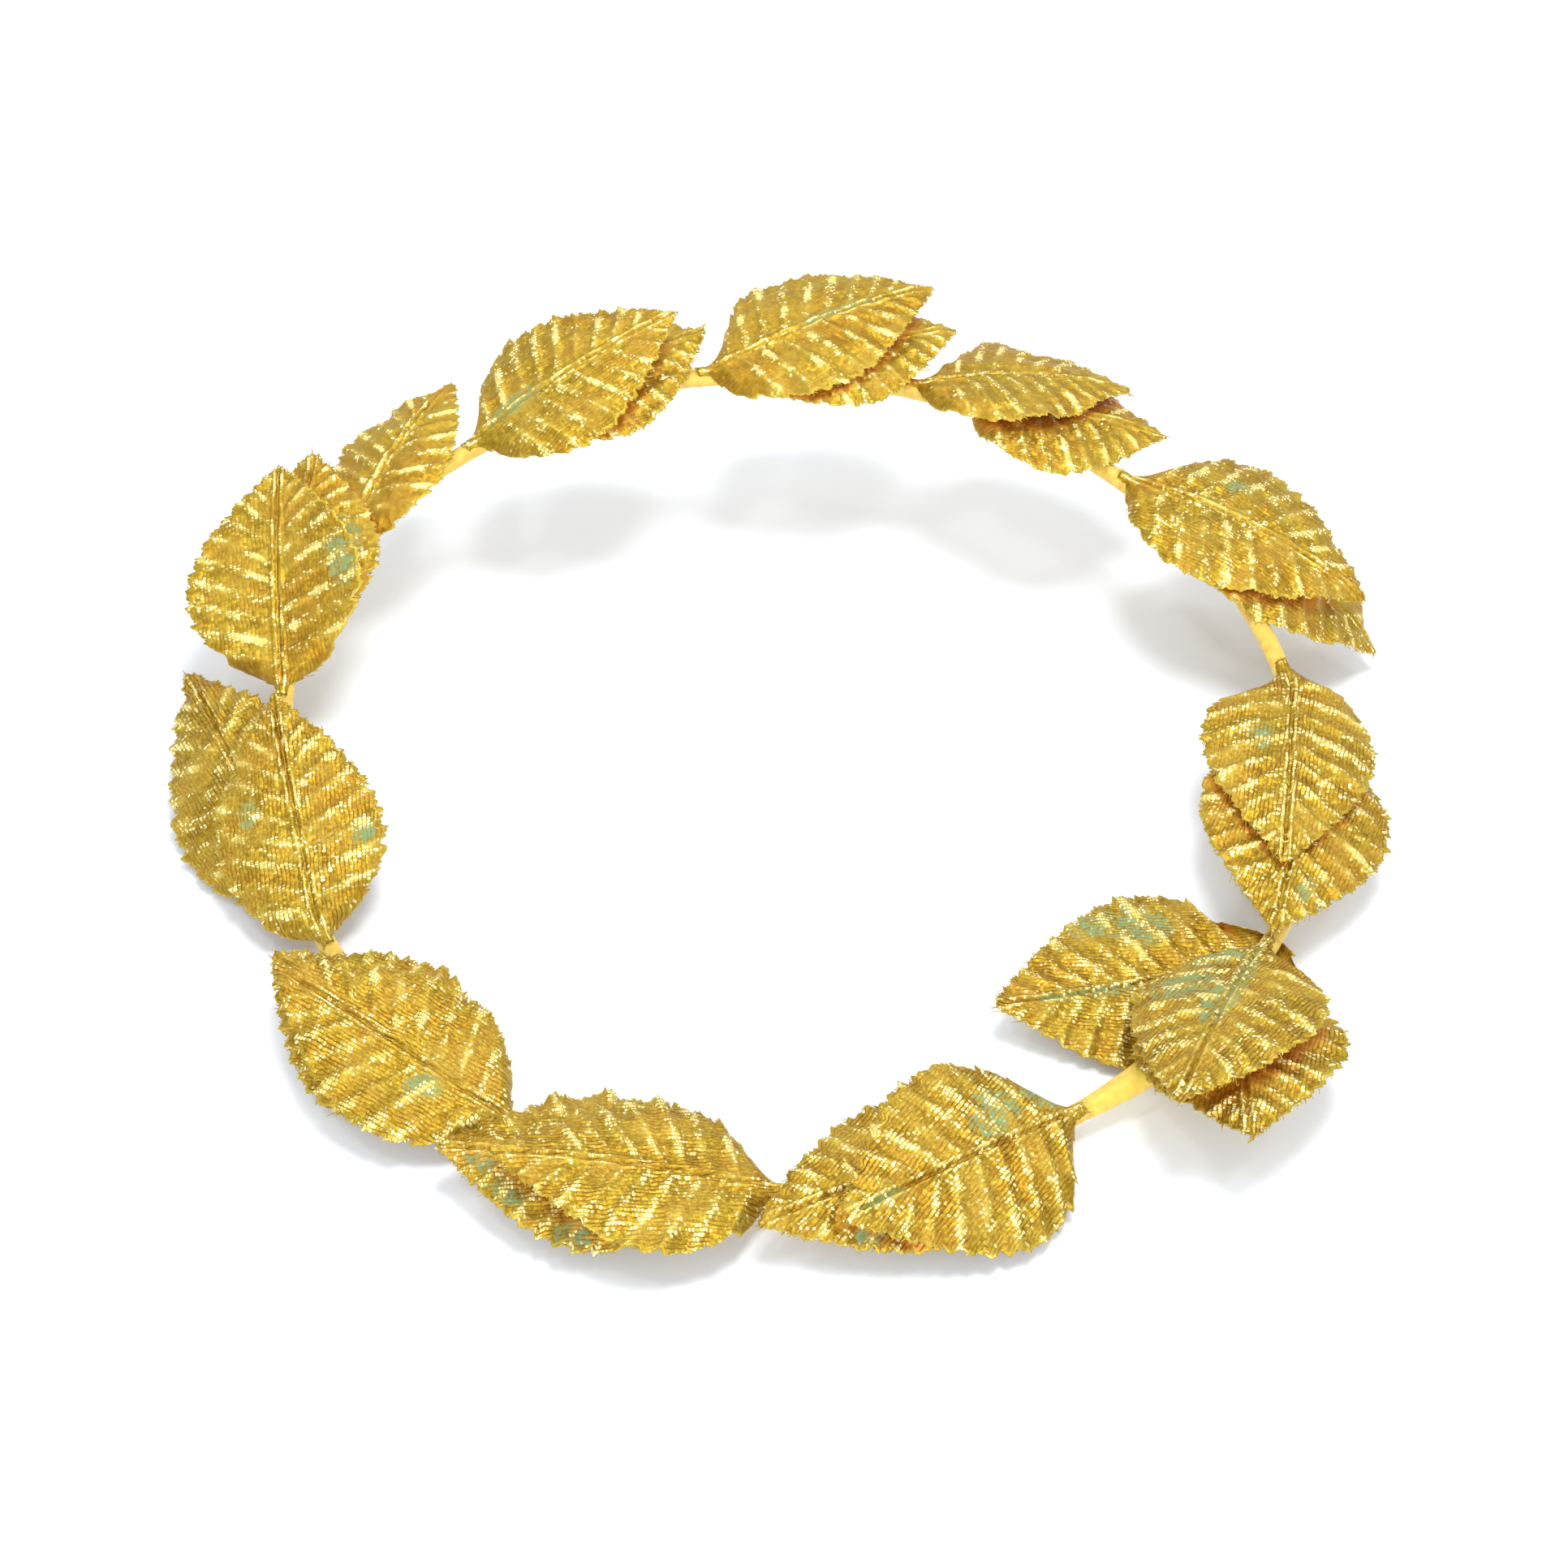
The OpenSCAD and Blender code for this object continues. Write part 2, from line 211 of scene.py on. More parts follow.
# The saw-toothed edge: heights in millimetres, and how the teeth grow from the neck and the tip
TEETH = 17
TEETH_FROM = 0.82
TOOTH_H = 1.2
TOOTH_DEPTH = (0.55, 1.25)
TOOTH_SLOPE = 0.8
TOOTH_MIDDLE = 0.45
NECK_TEETH_GROW = 16
TIP_TEETH_GROW = 4
TIP_TEETH = 0.35
JAG_H = 0.42
JAG_POWER = 30

# Loose threads: their roots on the edge or the neck, then their sizes in millimetres, leans and bends
FRAYS = 150
FRAY_ALONG = (0.02, 0.995)
FRAY_ALONG_POWER = 0.9
FRAY_ACROSS = 0.97
FRAY_BESIDE = 0.004
FRAY_INWARD = 0.93
NECK_FRAYS = 14
NECK_FRAY_AT = 0.001
NECK_FRAY_ACROSS = 0.95
NECK_FRAY_NEAR = 0.02
FRAY_L = (0.3, 1.3)
LONG_FRAY = 1.9
LONG_FRAY_CHANCE = 0.06
FRAY_R = 0.12
FRAY_TAPER = 0.55
FRAY_SIDES = 3
FRAY_RINGS = 4
FRAY_LEAN = (0.2, 1.3)
FRAY_OUT = (0.5, 1.0)
FRAY_RISE = (-0.35, 0.3)
FRAY_BEND = 0.35
BEND_RISE = (-0.5, 0.3)
BEND_ALONG = (-0.3, 0.5)
FRAY_SIDE_STEP = 0.05

# Values that the cloth's material reads on the under face and on loose threads
UNDER_CREST = 0.5
FRAY_CREST = 0.3
FRAY_COVER = 0.1

# How far the under face and each next leaf lie from the last in the cloth's weave, in millimetres
UNDER_SHIFT = (0, 60)
LEAF_SHIFT = 150

# How the shade between the leaves is found, lengths in millimetres. ODD_DIRECTION only sets where the
# ring of rays round each normal starts
TREE_STEP = 3
SHADE_STEP = 3
COVER_RAYS = 8
COVER_LEAN = (0.25, 1.1)
COVER_START = 0.7
COVER_REACH = 9.0
ODD_DIRECTION = (0.31, 0.52, 0.79)

# The stem's paper tape and the thicker tape over its joint, lengths in millimetres
STEM_RINGS = 720
STEM_SIDES = 20
STEM_PITCH = 6.0
TAPE_GROOVE = 0.07
TAPE_GROOVE_SHARE = 0.10
SPLICE_RINGS = 60
SPLICE_SIDES = 28
SPLICE_PITCH = 4.5
SPLICE_CLEAR = 0.05
SPLICE_TAPER = 0.9
SPLICE_END = 0.1
SPLICE_END_START = 0.45

# Camera: distance and target in millimetres, its nearest plane in metres
CAMERA_ELEVATION = 44.0
CAMERA_DISTANCE = 600.0
CAMERA_TARGET = (-0.2, -7.0, 14.6)
CLIP_START = 0.01
PHOTO_PX = 1932
PX_PER_MM = 6.7
SENSOR = 36.0

# Floor, sky and lights. A light's row: name, place and size in metres, power in watts
FLOOR_SIZE = 6.0
FLOOR_COLOUR = (0.88, 0.905, 0.96, 1)
FLOOR_ROUGHNESS = 0.9
HORIZON = (0.945, 0.98, 0.99, 1)
ZENITH = (0.61, 0.633, 0.645, 1)
SKY_STRENGTH = 1.1
LIGHT_COLOUR = (0.985, 1.0, 0.985)
LIGHTS = [
    ("key", (0.12, 0.02, 0.95), 0.35, 5.0),
    ("fill", (0.10, -1.0, 0.45), 0.8, 6.5),
    ("back", (-0.25, 0.75, 0.75), 0.12, 1.2),
    ("side", (0.75, 0.25, 0.70), 0.12, 0.8),
    ("front", (-0.35, -0.15, 0.95), 0.12, 0.8),
]


def unit(v):
    return v / np.linalg.norm(v, axis=-1, keepdims=True)


def ease(t):
    """A smooth step from 0 to 1."""
    c = np.clip(t, 0, 1)
    return c * c * (3 - 2 * c)


def through(a, b, c, d, t):
    """The smooth curve from b to c, on its way from a and to d."""
    square = (2 * a - 5 * b + 4 * c - d) * t * t
    cube = (3 * b - a - 3 * c + d) * t * t * t
    return 0.5 * (2 * b + (c - a) * t + square + cube)


def hoop_share(turn, column):
    """One column of HOOP at any turn in degrees, smooth from row to row."""
    whole = math.floor(turn / HOOP_TURN)
    near = [HOOP[(whole + k) % len(HOOP)][column] for k in (-1, 0, 1, 2)]
    return through(*near, turn / HOOP_TURN - whole)


def hoop_point(turn):
    r = HOOP_R * hoop_share(turn, RADIUS)
    a = math.radians(turn)
    return np.array([r * math.cos(a), r * math.sin(a), HOOP_RISE * hoop_share(turn, HEIGHT)])


def hoop_axes(turn, roll=0.0):
    """Axes along the hoop clockwise, outward and up, rolled round the stem."""
    along = unit(hoop_point(turn - TANGENT_TURN) - hoop_point(turn + TANGENT_TURN))
    up = unit(np.array([0, 0, 1.0]) - along[2] * along)
    out = np.cross(up, along)
    c, s = math.cos(math.radians(roll)), math.sin(math.radians(roll))
    return np.array([along, c * out + s * up, c * up - s * out])


def turn_of(length, radius):
    """Degrees of a circle of this radius that a length along it takes."""
    return math.degrees(length / radius)


def direction(yaw, pitch):
    """Unit vectors with these yaws and pitches."""
    return np.stack([np.cos(pitch) * np.cos(yaw), np.cos(pitch) * np.sin(yaw), np.sin(pitch)], -1)


class Leaf:
    """One leaf's surface as a function of u, from neck to tip, and v, across it."""

    def __init__(self, row):
        self.row = row
        self.length = LEAF_L * row[LENGTH]
        self.width = LEAF_W * row[WIDTH]
        station_r = HOOP_R * hoop_share(row[STATION], RADIUS)
        turn = row[STATION] - turn_of(row[ALONG] * PAIR_STEP, station_r)
        self.axes = hoop_axes(turn, row[ROLL])
        self.base = hoop_point(turn)
        self.random = random.Random(row[NAME])
        self.phase = [self.random.uniform(0, 2 * math.pi) for _ in range(PHASES)]
        self.fine = np.linspace(0, 1, MIDRIB_STEPS + 1)
        yaw, pitch = self.heading((self.fine[1:] + self.fine[:-1]) / 2)
        steps = direction(yaw, pitch) * self.length / MIDRIB_STEPS
        start = np.array([0, 0, row[SEAT] * SADDLE_R])
        self.path = np.vstack([start, start + np.cumsum(steps, 0)])

    def heading(self, u):
        """Yaw and pitch of the midrib, which leaves the stem along it and then turns away."""
        e = ease(u * self.length / TURN_L)
        row = self.row
        return np.radians(row[YAW] * e), np.radians(row[LIFT] * e + row[CURL] * u)

    def midrib(self, u):
        return np.stack([np.interp(u, self.fine, self.path[:, k]) for k in range(3)], -1)

    def swept(self, u):
        """How far along the leaf the edge is, where the side veins from u meet it."""
        return (1 - (1 - u) ** VEIN_SWEEP) * self.length

    def half(self, x):
        """Half the leaf's width at a distance x from its neck."""
        t = np.clip((x - SEAT_L) / (self.length - SEAT_L), 0, 1)
        blade = self.width / 2 * np.sin(math.pi * t**OUTLINE_SHIFT).clip(0) ** OUTLINE_FULLNESS
        wedge = 1 - WEDGE * np.exp(-np.maximum(x - SEAT_L, 0) / WEDGE_L)
        neck = NECK_W / 2 * (NECK_PINCH + (1 - NECK_PINCH) * ease(x / NECK_OPENS))
        return blade * wedge + neck * (1 - t) + TIP_HALF

    def waves(self, s, t, first, count, size):
        """Smooth unevenness of the cloth: a few crossing waves with this leaf's own phases."""
        total = np.zeros_like(s)
        for k in range(count):
            angle = self.phase[(first + 3 * k + 1) % PHASES]
            pitch = size * (WAVE_PITCH + WAVE_PITCH_STEP * k)
            along = s * math.cos(angle) + t * math.sin(angle)
            total += np.sin(2 * math.pi * along / pitch + self.phase[(first + k) % PHASES])
        return total / math.sqrt(count)

    def place(self, u, v, tooth):
        """Points, outward directions and flat cloth coordinates for arrays u and v."""
        row = self.row
        yaw, pitch = self.heading(u)
        ahead = direction(yaw, pitch)
        side = np.stack([-np.sin(yaw), np.cos(yaw), np.zeros_like(yaw)], -1)
        normal = np.cross(ahead, side)
        reach = np.abs(v)
        x = u * self.length
        swept = self.swept(u)
        half = self.half(swept)
        opened = ease((swept - SEAT_L) / SPREAD_L)
        saddle = row[SEAT] * (NECK_W / 2) / SADDLE_R
        angle = saddle * (1 - opened) + math.radians(row[CUP]) * opened
        angle = np.where(np.abs(angle) < LEAST_ANGLE, LEAST_ANGLE, angle)
        radius = half / angle
        toothed = tooth * ease((reach - TEETH_FROM) / (1 - TEETH_FROM)) * np.sign(v)
        lateral = radius * np.sin(angle * v) + toothed
        drop = radius * (np.cos(angle * v) - 1)
        off = normal * np.cos(angle * v)[..., None] + side * np.sin(angle * v)[..., None]
        s = x + (swept - x) * reach
        t = v * half
        lift = self.relief(u, v, s, t, half, opened)
        lift -= row[SEAT] * ((LEAF_T - CLOTH_T) / 2 + SADDLE_SINK) * (1 - opened)
        p = self.midrib(u) + ahead * ((swept - x) * reach)[..., None]
        p = p + side * lateral[..., None] + normal * drop[..., None] + off * lift[..., None]
        return self.base + p @ self.axes, off @ self.axes, s, t

    def vein(self, u, v, half, opened):
        """How near the crest of a pressed side vein a place lies, and how strongly it is pressed."""
        side = np.where(v < 0, 0.0, 0.5)
        waver = VEIN_WAVER * np.sin(self.phase[VEIN_WAVER_PHASE] + VEIN_WAVER_TURN * u)
        turn = VEINS * u + side + waver
        crest = (0.5 + 0.5 * np.cos(2 * math.pi * turn)) ** VEIN_SHARPNESS
        start, full = VEIN_START
        strength = ease((np.abs(v) * half - start) / (full - start))
        return crest, strength * opened * ease((1 - u) / VEIN_FADE)

    def relief(self, u, v, s, t, half, opened):
        """Height of the cloth's face over the plain curved blade."""
        reach = np.abs(v)
        from_rib = reach * half
        rise = PILLOW_H * opened * (1 - u) * np.sin(math.pi * reach)
        crest, strength = self.vein(u, v, half, opened)
        uneven = VEIN_EVEN + VEIN_UNEVEN * self.waves(s, t, *UNEVEN_WAVES)
        veins = VEIN_H * (crest - VEIN_MEAN) * strength * uneven
        rib = RIB_H * np.exp(-(((from_rib - RIB_AT) / RIB_W) ** 2))
        groove = GROOVE_H * np.exp(-((from_rib / RIB_W) ** 2))
        pressed = self.row[RIB] * (rib - groove) * opened * ease((1 - u) / RIB_FADE)
        crumple = self.row[CRUMPLE] * opened
        wrinkles = WRINKLE_H * crumple * self.waves(s, t, *WRINKLE_WAVES)
        edge_waves = self.waves(s + OTHER_EDGE * np.sign(v), 0 * t, *RUFFLE_WAVES)
        ruffle = RUFFLE_H * crumple * reach**RUFFLE_POWER * edge_waves
        return rise + veins + pressed + wrinkles + ruffle

    def tooth(self, u, v):
        """How far the saw-toothed edge stands out at each place along it."""
        result = np.zeros_like(u)
        for side in (-1, 1):
            depth = np.array([self.random.uniform(*TOOTH_DEPTH) for _ in range(TEETH + 1)])
            place = u * TEETH
            which = np.minimum(place.astype(int), TEETH)
            saw = (place - which) ** TOOTH_SLOPE - TOOTH_MIDDLE
            result = np.where(np.sign(v) == side, TOOTH_H * depth[which] * saw, result)
        near_tip = TIP_TEETH + (1 - TIP_TEETH) * ease((1 - u) * TIP_TEETH_GROW)
        rows = u.shape[0]
        jags = np.array([self.random.uniform(-JAG_H, JAG_H) for _ in range(2 * rows)])
        jags = np.where(v < 0, jags[:rows, None], jags[rows:, None])
        return result * ease(u * NECK_TEETH_GROW) * near_tip + jags * np.abs(v) ** JAG_POWER


def add_mesh(name, points, faces, material, uvs, values=None):
    """A mesh object in metres from millimetre points, with cloth coordinates and values at points."""
    mesh = bpy.data.meshes.new(name)
    mesh.from_pydata((np.asarray(points) * MM).tolist(), [], faces)
    mesh.materials.append(material)
    mesh.shade_smooth()
    layer = mesh.uv_layers.new(name="cloth")
    loops = np.zeros(len(mesh.loops), int)
    mesh.loops.foreach_get("vertex_index", loops)
    layer.data.foreach_set("uv", np.asarray(uvs)[loops].ravel())
    for key, data in (values or {}).items():
        attribute = mesh.attributes.new(key, "FLOAT", "POINT")
        attribute.data.foreach_set("value", np.asarray(data, float))
    obj = bpy.data.objects.new(name, mesh)
    bpy.context.scene.collection.objects.link(obj)
    return obj


def leaf_grid():
    """The places u and v of a leaf's points, closer together near the midrib."""
    u = np.linspace(0, 1, TEETH * STEPS_PER_TOOTH + 1)
    even = np.linspace(-1, 1, 2 * ACROSS_HALF + 1)
    v = np.sign(even) * np.abs(even) ** CENTRE_BIAS
    return np.meshgrid(u, v, indexing="ij")


def shell_faces(n, m):
    """Quads of a closed shell whose top grid of n by m points is followed by its under grid."""
    under = n * m
    faces = []
    for i in range(n - 1):
        for j in range(m - 1):
            a = i * m + j
            faces.append((a, a + m, a + m + 1, a + 1))
            faces.append((under + a, under + a + 1, under + a + m + 1, under + a + m))
        a, b = i * m, i * m + m - 1
        faces.append((a, under + a, under + a + m, a + m))
        faces.append((b, b + m, under + b + m, under + b))
    for j in range(m - 1):
        a, b = j, (n - 1) * m + j
        faces.append((a, a + 1, under + a + 1, under + a))
        faces.append((b, under + b, under + b + 1, b + 1))
    return faces


def tube_faces(first, rings, sides, closed=False):
    """Quads round a tube whose rings follow each other from point first, with caps unless it closes."""
    faces = []
    for i in range(rings if closed else rings - 1):
        for q in range(sides):
            a, b = i * sides + q, i * sides + (q + 1) % sides
            c, d = (a + sides) % (rings * sides), (b + sides) % (rings * sides)
            faces.append((first + a, first + b, first + d, first + c))
    if not closed:
        last = first + (rings - 1) * sides
        faces.append(tuple(first + q for q in range(sides - 1, -1, -1)))
        faces.append(tuple(last + q for q in range(sides)))
    return faces


def worn_share(name, u, v):
    """How far the gold has rubbed off at each place of the named leaf."""
    total = np.zeros_like(u)
    for leaf, at_u, at_v, size_u, size_v in WORN:
        if leaf == name:
            far = ((u - at_u) / size_u) ** 2 + ((v - at_v) / size_v) ** 2
            total = np.maximum(total, np.exp(-far))
    return total


def fray_root(rnd, k):
    """Where loose thread k grows from on the leaf, a place beside that and one further in."""
    if k < FRAYS:
        u = rnd.uniform(*FRAY_ALONG) ** FRAY_ALONG_POWER
        v = FRAY_ACROSS * rnd.choice((-1, 1))
        return np.array([[u, v], [min(u + FRAY_BESIDE, 1), v], [u, FRAY_INWARD * v]])
    u = NECK_FRAY_AT
    v = rnd.uniform(-NECK_FRAY_ACROSS, NECK_FRAY_ACROSS)
    return np.array([[u, v], [u, v + NECK_FRAY_NEAR], [NECK_FRAY_NEAR, v]])


def fray_tubes(leaf, first):
    """Loose thread ends along the cut edge, as thin three-sided tubes."""
    points, faces, uvs = [], [], []
    rnd = leaf.random
    grain = math.radians(leaf.row[GRAIN])
    for k in range(FRAYS + NECK_FRAYS):
        near = fray_root(rnd, k)
        length = rnd.uniform(*FRAY_L) * (LONG_FRAY if rnd.random() < LONG_FRAY_CHANCE else 1)
        p, off, s, t = leaf.place(near[:, 0], near[:, 1], np.zeros(len(near)))
        along = unit(p[1] - p[0] + NO_LENGTH)
        out = unit(p[0] - p[2])
        way = along * rnd.uniform(*FRAY_LEAN) * math.cos(grain)
        way = unit(way + out * rnd.uniform(*FRAY_OUT) + off[0] * rnd.uniform(*FRAY_RISE))
        bend = off[0] * rnd.uniform(*BEND_RISE) + along * rnd.uniform(*BEND_ALONG)
        a = unit(np.cross(way, off[0]))
        b = np.cross(way, a)
        faces += tube_faces(first + len(points), FRAY_RINGS, FRAY_SIDES)
        for ring in range(FRAY_RINGS):
            f = ring / (FRAY_RINGS - 1)
            centre = p[0] + way * length * f + bend * length * FRAY_BEND * f * f
            r = FRAY_R * (1 - FRAY_TAPER * f)
            for q in range(FRAY_SIDES):
                angle = 2 * math.pi * q / FRAY_SIDES
                points.append(centre + r * (math.cos(angle) * a + math.sin(angle) * b))
                uvs.append((s[0] + length * f, t[0] + FRAY_SIDE_STEP * q))
    return points, faces, uvs


def cloth_values(leaf, u, v, loose_points):
    """What the material reads on the top face, on the under face and on the loose threads."""
    half = leaf.half(leaf.swept(u))
    crest, strength = leaf.vein(u, v, half, ease((u * leaf.length - SEAT_L) / SPREAD_L))
    rib = np.exp(-(((np.abs(v) * half - RIB_AT) / RIB_W) ** 2)) * leaf.row[RIB]
    raised = np.clip(np.maximum(crest * strength, rib), 0, 1).ravel()
    worn = worn_share(leaf.row[NAME], u, v).ravel()
    reach = np.abs(v).ravel()
    loose = np.ones(loose_points)
    return {
        "worn": np.concatenate([worn, 0 * worn, 0 * loose]),
        "crest": np.concatenate([raised, UNDER_CREST * raised, FRAY_CREST * loose]),
        "reach": np.concatenate([reach, reach, loose]),
        "satin": np.full(2 * u.size + loose_points, leaf.row[SATIN]),
    }


def build_leaf(row, index, material):
    """Build one leaf, and return it with its middle surface and the directions out of that."""
    leaf = Leaf(row)
    u, v = leaf_grid()
    p, off, s, t = leaf.place(u, v, leaf.tooth(u, v))
    thick = (CLOTH_T + (EDGE_T - CLOTH_T) * np.abs(v) ** EDGE_POWER)[..., None]
    top = (p + off * thick / 2).reshape(-1, 3)
    under = (p - off * thick / 2).reshape(-1, 3)
    c, d = math.cos(math.radians(row[GRAIN])), math.sin(math.radians(row[GRAIN]))
    flat = np.stack([s * c + t * d, t * c - s * d], -1).reshape(-1, 2)
    fray_points, fray_faces, fray_uvs = fray_tubes(leaf, 2 * u.size)
    obj = add_mesh(
        row[NAME].replace("leaf", "gold_leaf"),
        np.vstack([top, under, np.array(fray_points)]) - ORIGIN,
        shell_faces(*u.shape) + fray_faces,
        material,
        np.vstack([flat, flat + UNDER_SHIFT, np.array(fray_uvs)]) + (0, LEAF_SHIFT * index),
        cloth_values(leaf, u, v, len(fray_points)),
    )
    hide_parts(row[NAME])
    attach(obj, "root")
    return obj, p - ORIGIN, off


def surface_tree(leaves):
    """A search tree of all leaf surfaces, on every third point of each grid."""
    points, faces = [], []
    for _, p, _ in leaves:
        coarse = p[::TREE_STEP, ::TREE_STEP]
        n, m = coarse.shape[:2]
        first = len(points)
        points += coarse.reshape(-1, 3).tolist()
        for i in range(n - 1):
            for j in range(m - 1):
                a = first + i * m + j
                faces.append((a, a + 1, a + m + 1, a + m))
    return BVHTree.FromPolygons(points, faces)


def cover(tree, p, off):
    """Share of the sky over a place that near cloth hides, for a grid of places."""
    result = np.zeros(p.shape[:2])
    for i, j in np.ndindex(*result.shape):
        normal = off[i, j]
        a = unit(np.cross(normal, ODD_DIRECTION))
        b = np.cross(normal, a)
        for k in range(COVER_RAYS):
            turn = 2 * math.pi * k / COVER_RAYS
            lean = COVER_LEAN[k % len(COVER_LEAN)]
            way = normal + lean * (math.cos(turn) * a + math.sin(turn) * b)
            hit = tree.ray_cast(Vector(p[i, j] + normal * COVER_START), Vector(way), COVER_REACH)
            if hit[0] is not None:
                result[i, j] += (1 - hit[3] / COVER_REACH) / COVER_RAYS
    return result


def shade_leaves(leaves):
    """Write how deep each place lies under the leaves over it."""
    tree = surface_tree(leaves)
    u, v = leaf_grid()
    n, m = u.shape
    rows, columns = np.arange(0, n, SHADE_STEP), np.arange(0, m, SHADE_STEP)
    for obj, p, off in leaves:
        sides = []
        for face in (1, -1):
            part = cover(tree, p[np.ix_(rows, columns)], face * off[np.ix_(rows, columns)])
            wide = np.array([np.interp(np.arange(m), columns, line) for line in part])
            sides.append(np.array([np.interp(np.arange(n), rows, line) for line in wide.T]).T.ravel())
        rest = np.full(len(obj.data.vertices) - 2 * n * m, FRAY_COVER)
        attribute = obj.data.attributes.new("cover", "FLOAT", "POINT")
        attribute.data.foreach_set("value", np.concatenate([*sides, rest]))


def tube(name, turns, radius_at, sides, closed, material):
    """A tube round the hoop's centre line. radius_at takes the way along it, the angle and the ring."""
    points, uvs = [], []
    run = 0.0
    before = hoop_point(turns[0])
    for i, turn in enumerate(turns):
        axes, centre = hoop_axes(turn), hoop_point(turn)
        run += float(np.linalg.norm(centre - before))
        before = centre
        for q in range(sides):
            a = 2 * math.pi * q / sides
            r = radius_at(run, a, i)
            points.append(centre + r * (math.cos(a) * axes[2] + math.sin(a) * axes[1]))
            uvs.append((run, q / sides * math.pi * STEM_D))
    faces = tube_faces(0, len(turns), sides, closed)
    return add_mesh(name, np.array(points) - ORIGIN, faces, material, uvs)


class Nodes:
    """Short calls to build a material's node tree."""

    def __init__(self, name):
        self.material = bpy.data.materials.new(name)
        self.material.use_nodes = True
        self.tree = self.material.node_tree
        self.tree.nodes.clear()
        self.shader = self.tree.nodes.new("ShaderNodeBsdfPrincipled")
        out = self.tree.nodes.new("ShaderNodeOutputMaterial")
        self.tree.links.new(self.shader.outputs[0], out.inputs[0])

    def new(self, kind, **settings):
        node = self.tree.nodes.new("ShaderNode" + kind)
        for key, value in settings.items():
            setattr(node, key, value)
        return node

    def feed(self, node, inputs):
        for key, value in inputs.items():
            socket = node.inputs[key]
            if isinstance(value, bpy.types.NodeSocket):
                self.tree.links.new(value, socket)
            else:
                socket.default_value = value
        return node

    def attribute(self, name):
        return self.new("Attribute", attribute_name=name).outputs["Fac"]

    def cloth_place(self):
        return self.new("UVMap", uv_map="cloth").outputs[0]

    def math(self, operation, *values):
        return self.feed(self.new("Math", operation=operation), dict(enumerate(values))).outputs[0]

    def vector(self, operation, a, b):
        return self.feed(self.new("VectorMath", operation=operation), {0: a, 1: b}).outputs[0]

    def parts(self, vector):
        return self.feed(self.new("SeparateXYZ"), {0: vector}).outputs

    def joined(self, x, y, z=0.0):
        return self.feed(self.new("CombineXYZ"), {0: x, 1: y, 2: z}).outputs[0]

    def times(self, first, *others):
        for other in others:
            first = self.math("MULTIPLY", first, other)
        return first

    def plus(self, a, b):
        return self.math("ADD", a, b)

    def minus(self, a, b):
        return self.math("SUBTRACT", a, b)

    def all_but(self, pattern, share):
        """What is left of 1 where a pattern takes its share away."""
        return self.minus(1.0, self.times(pattern, share))

    def clamped(self, value, high=1.0):
        return self.math("MINIMUM", self.math("MAXIMUM", value, 0.0), high)

    def hump(self, value):
        """A round hump from each whole number to the next."""
        return self.math("SINE", self.times(self.math("FRACT", value), math.pi))

    def ramp(self, value, stops):
        node = self.new("ValToRGB")
        self.feed(node, {0: value})
        elements = node.color_ramp.elements
        while len(elements) < len(stops):
            elements.new(0.5)
        for element, (at, colour) in zip(elements, stops):
            element.position = at
            element.color = colour if hasattr(colour, "__len__") else (colour, colour, colour, 1)
        return node.outputs[0]

    def mix(self, factor, a, b):
        node = self.new("Mix", data_type="RGBA")
        self.feed(node, {0: factor, 6: a, 7: b})
        return node.outputs[2]

    def noise(self, vector, scale, detail=2.0, roughness=0.5, output="Fac"):
        node = self.new("TexNoise")
        self.feed(node, {"Vector": vector, "Scale": scale, "Detail": detail, "Roughness": roughness})
        return node.outputs[output]


def linear(*rgb):
    """An sRGB colour of 0 to 255 as a linear colour."""
    scaled = [c / 255 for c in rgb]
    return tuple(c / 12.92 if c <= 0.04045 else ((c + 0.055) / 1.055) ** 2.4 for c in scaled) + (1.0,)


# Threads of the cloth: width and stitch length in millimetres, shift of the stitches from thread to
# thread as a share of a stitch, and how much finer the grain is across the threads than along them
THREAD = 0.76
BINDING = 0.55
BINDING_SHIFT = 0.37
GRAIN_ACROSS = 2.0

# Relief of the threads: depth in metres, strength, roundness, the stitches' share of it, and how far
# each stitch leans from level, where MIDDLE and LEVEL are a random colour's mean and a level normal
THREAD_RELIEF = 0.00006
RELIEF_STRENGTH = 0.8
THREAD_POWER = 0.6
BINDING_RELIEF = 0.4
FACET_TILT = (0.14, 0.20, 0.0)
MIDDLE = (0.5, 0.5, 0.5)
LEVEL = (0.5, 0.5, 1.0)

# How far one thing holds another back, as shares
SATIN_CLOSES = 0.9
DULL_SHARE = 0.6
MATTE_HIDES_GAP = 0.5
CREST_HIDES_WEAR = 0.8
GAP_HIDES_WEAR = 0.8
MATTE_HIDES_GLINT = 0.7
SHADE_HIDES_GLINT = 0.8

# Light run together over the crests: its start, growth and most, and its share on open and satin cloth
FLARE_START = 0.95
FLARE_GAIN = 3.5
FLARE_MOST = 0.85
FLARE_OPEN = 0.18
FLARE_SATIN = 0.75

# A stitch that glints: how sharply it is lit and cut out, and how far its edge is drawn in
GLINT_GAIN = 4.0
DOT_GAIN = 4.0
DOT_INSET = 0.05
DOT_INSET_SPREAD = 0.5

# Roughness and metal of plain cloth, and how each pattern changes them
ROUGHNESS = 0.50
GLINT_SMOOTHER = 0.24
MATTE_ROUGHER = 0.12
WORN_ROUGHER = 0.25
METALLIC = 0.85
MATTE_LESS_METAL = 0.25
SHADE_HIDES_METAL = 0.6
WORN_HIDES_METAL = 0.85
GLINT_HIDES_METAL = 0.5

# How the threads waver: scale of the noise and size of the bend
WAVER = [(0.3, 0.9), (1.6, 0.28)]

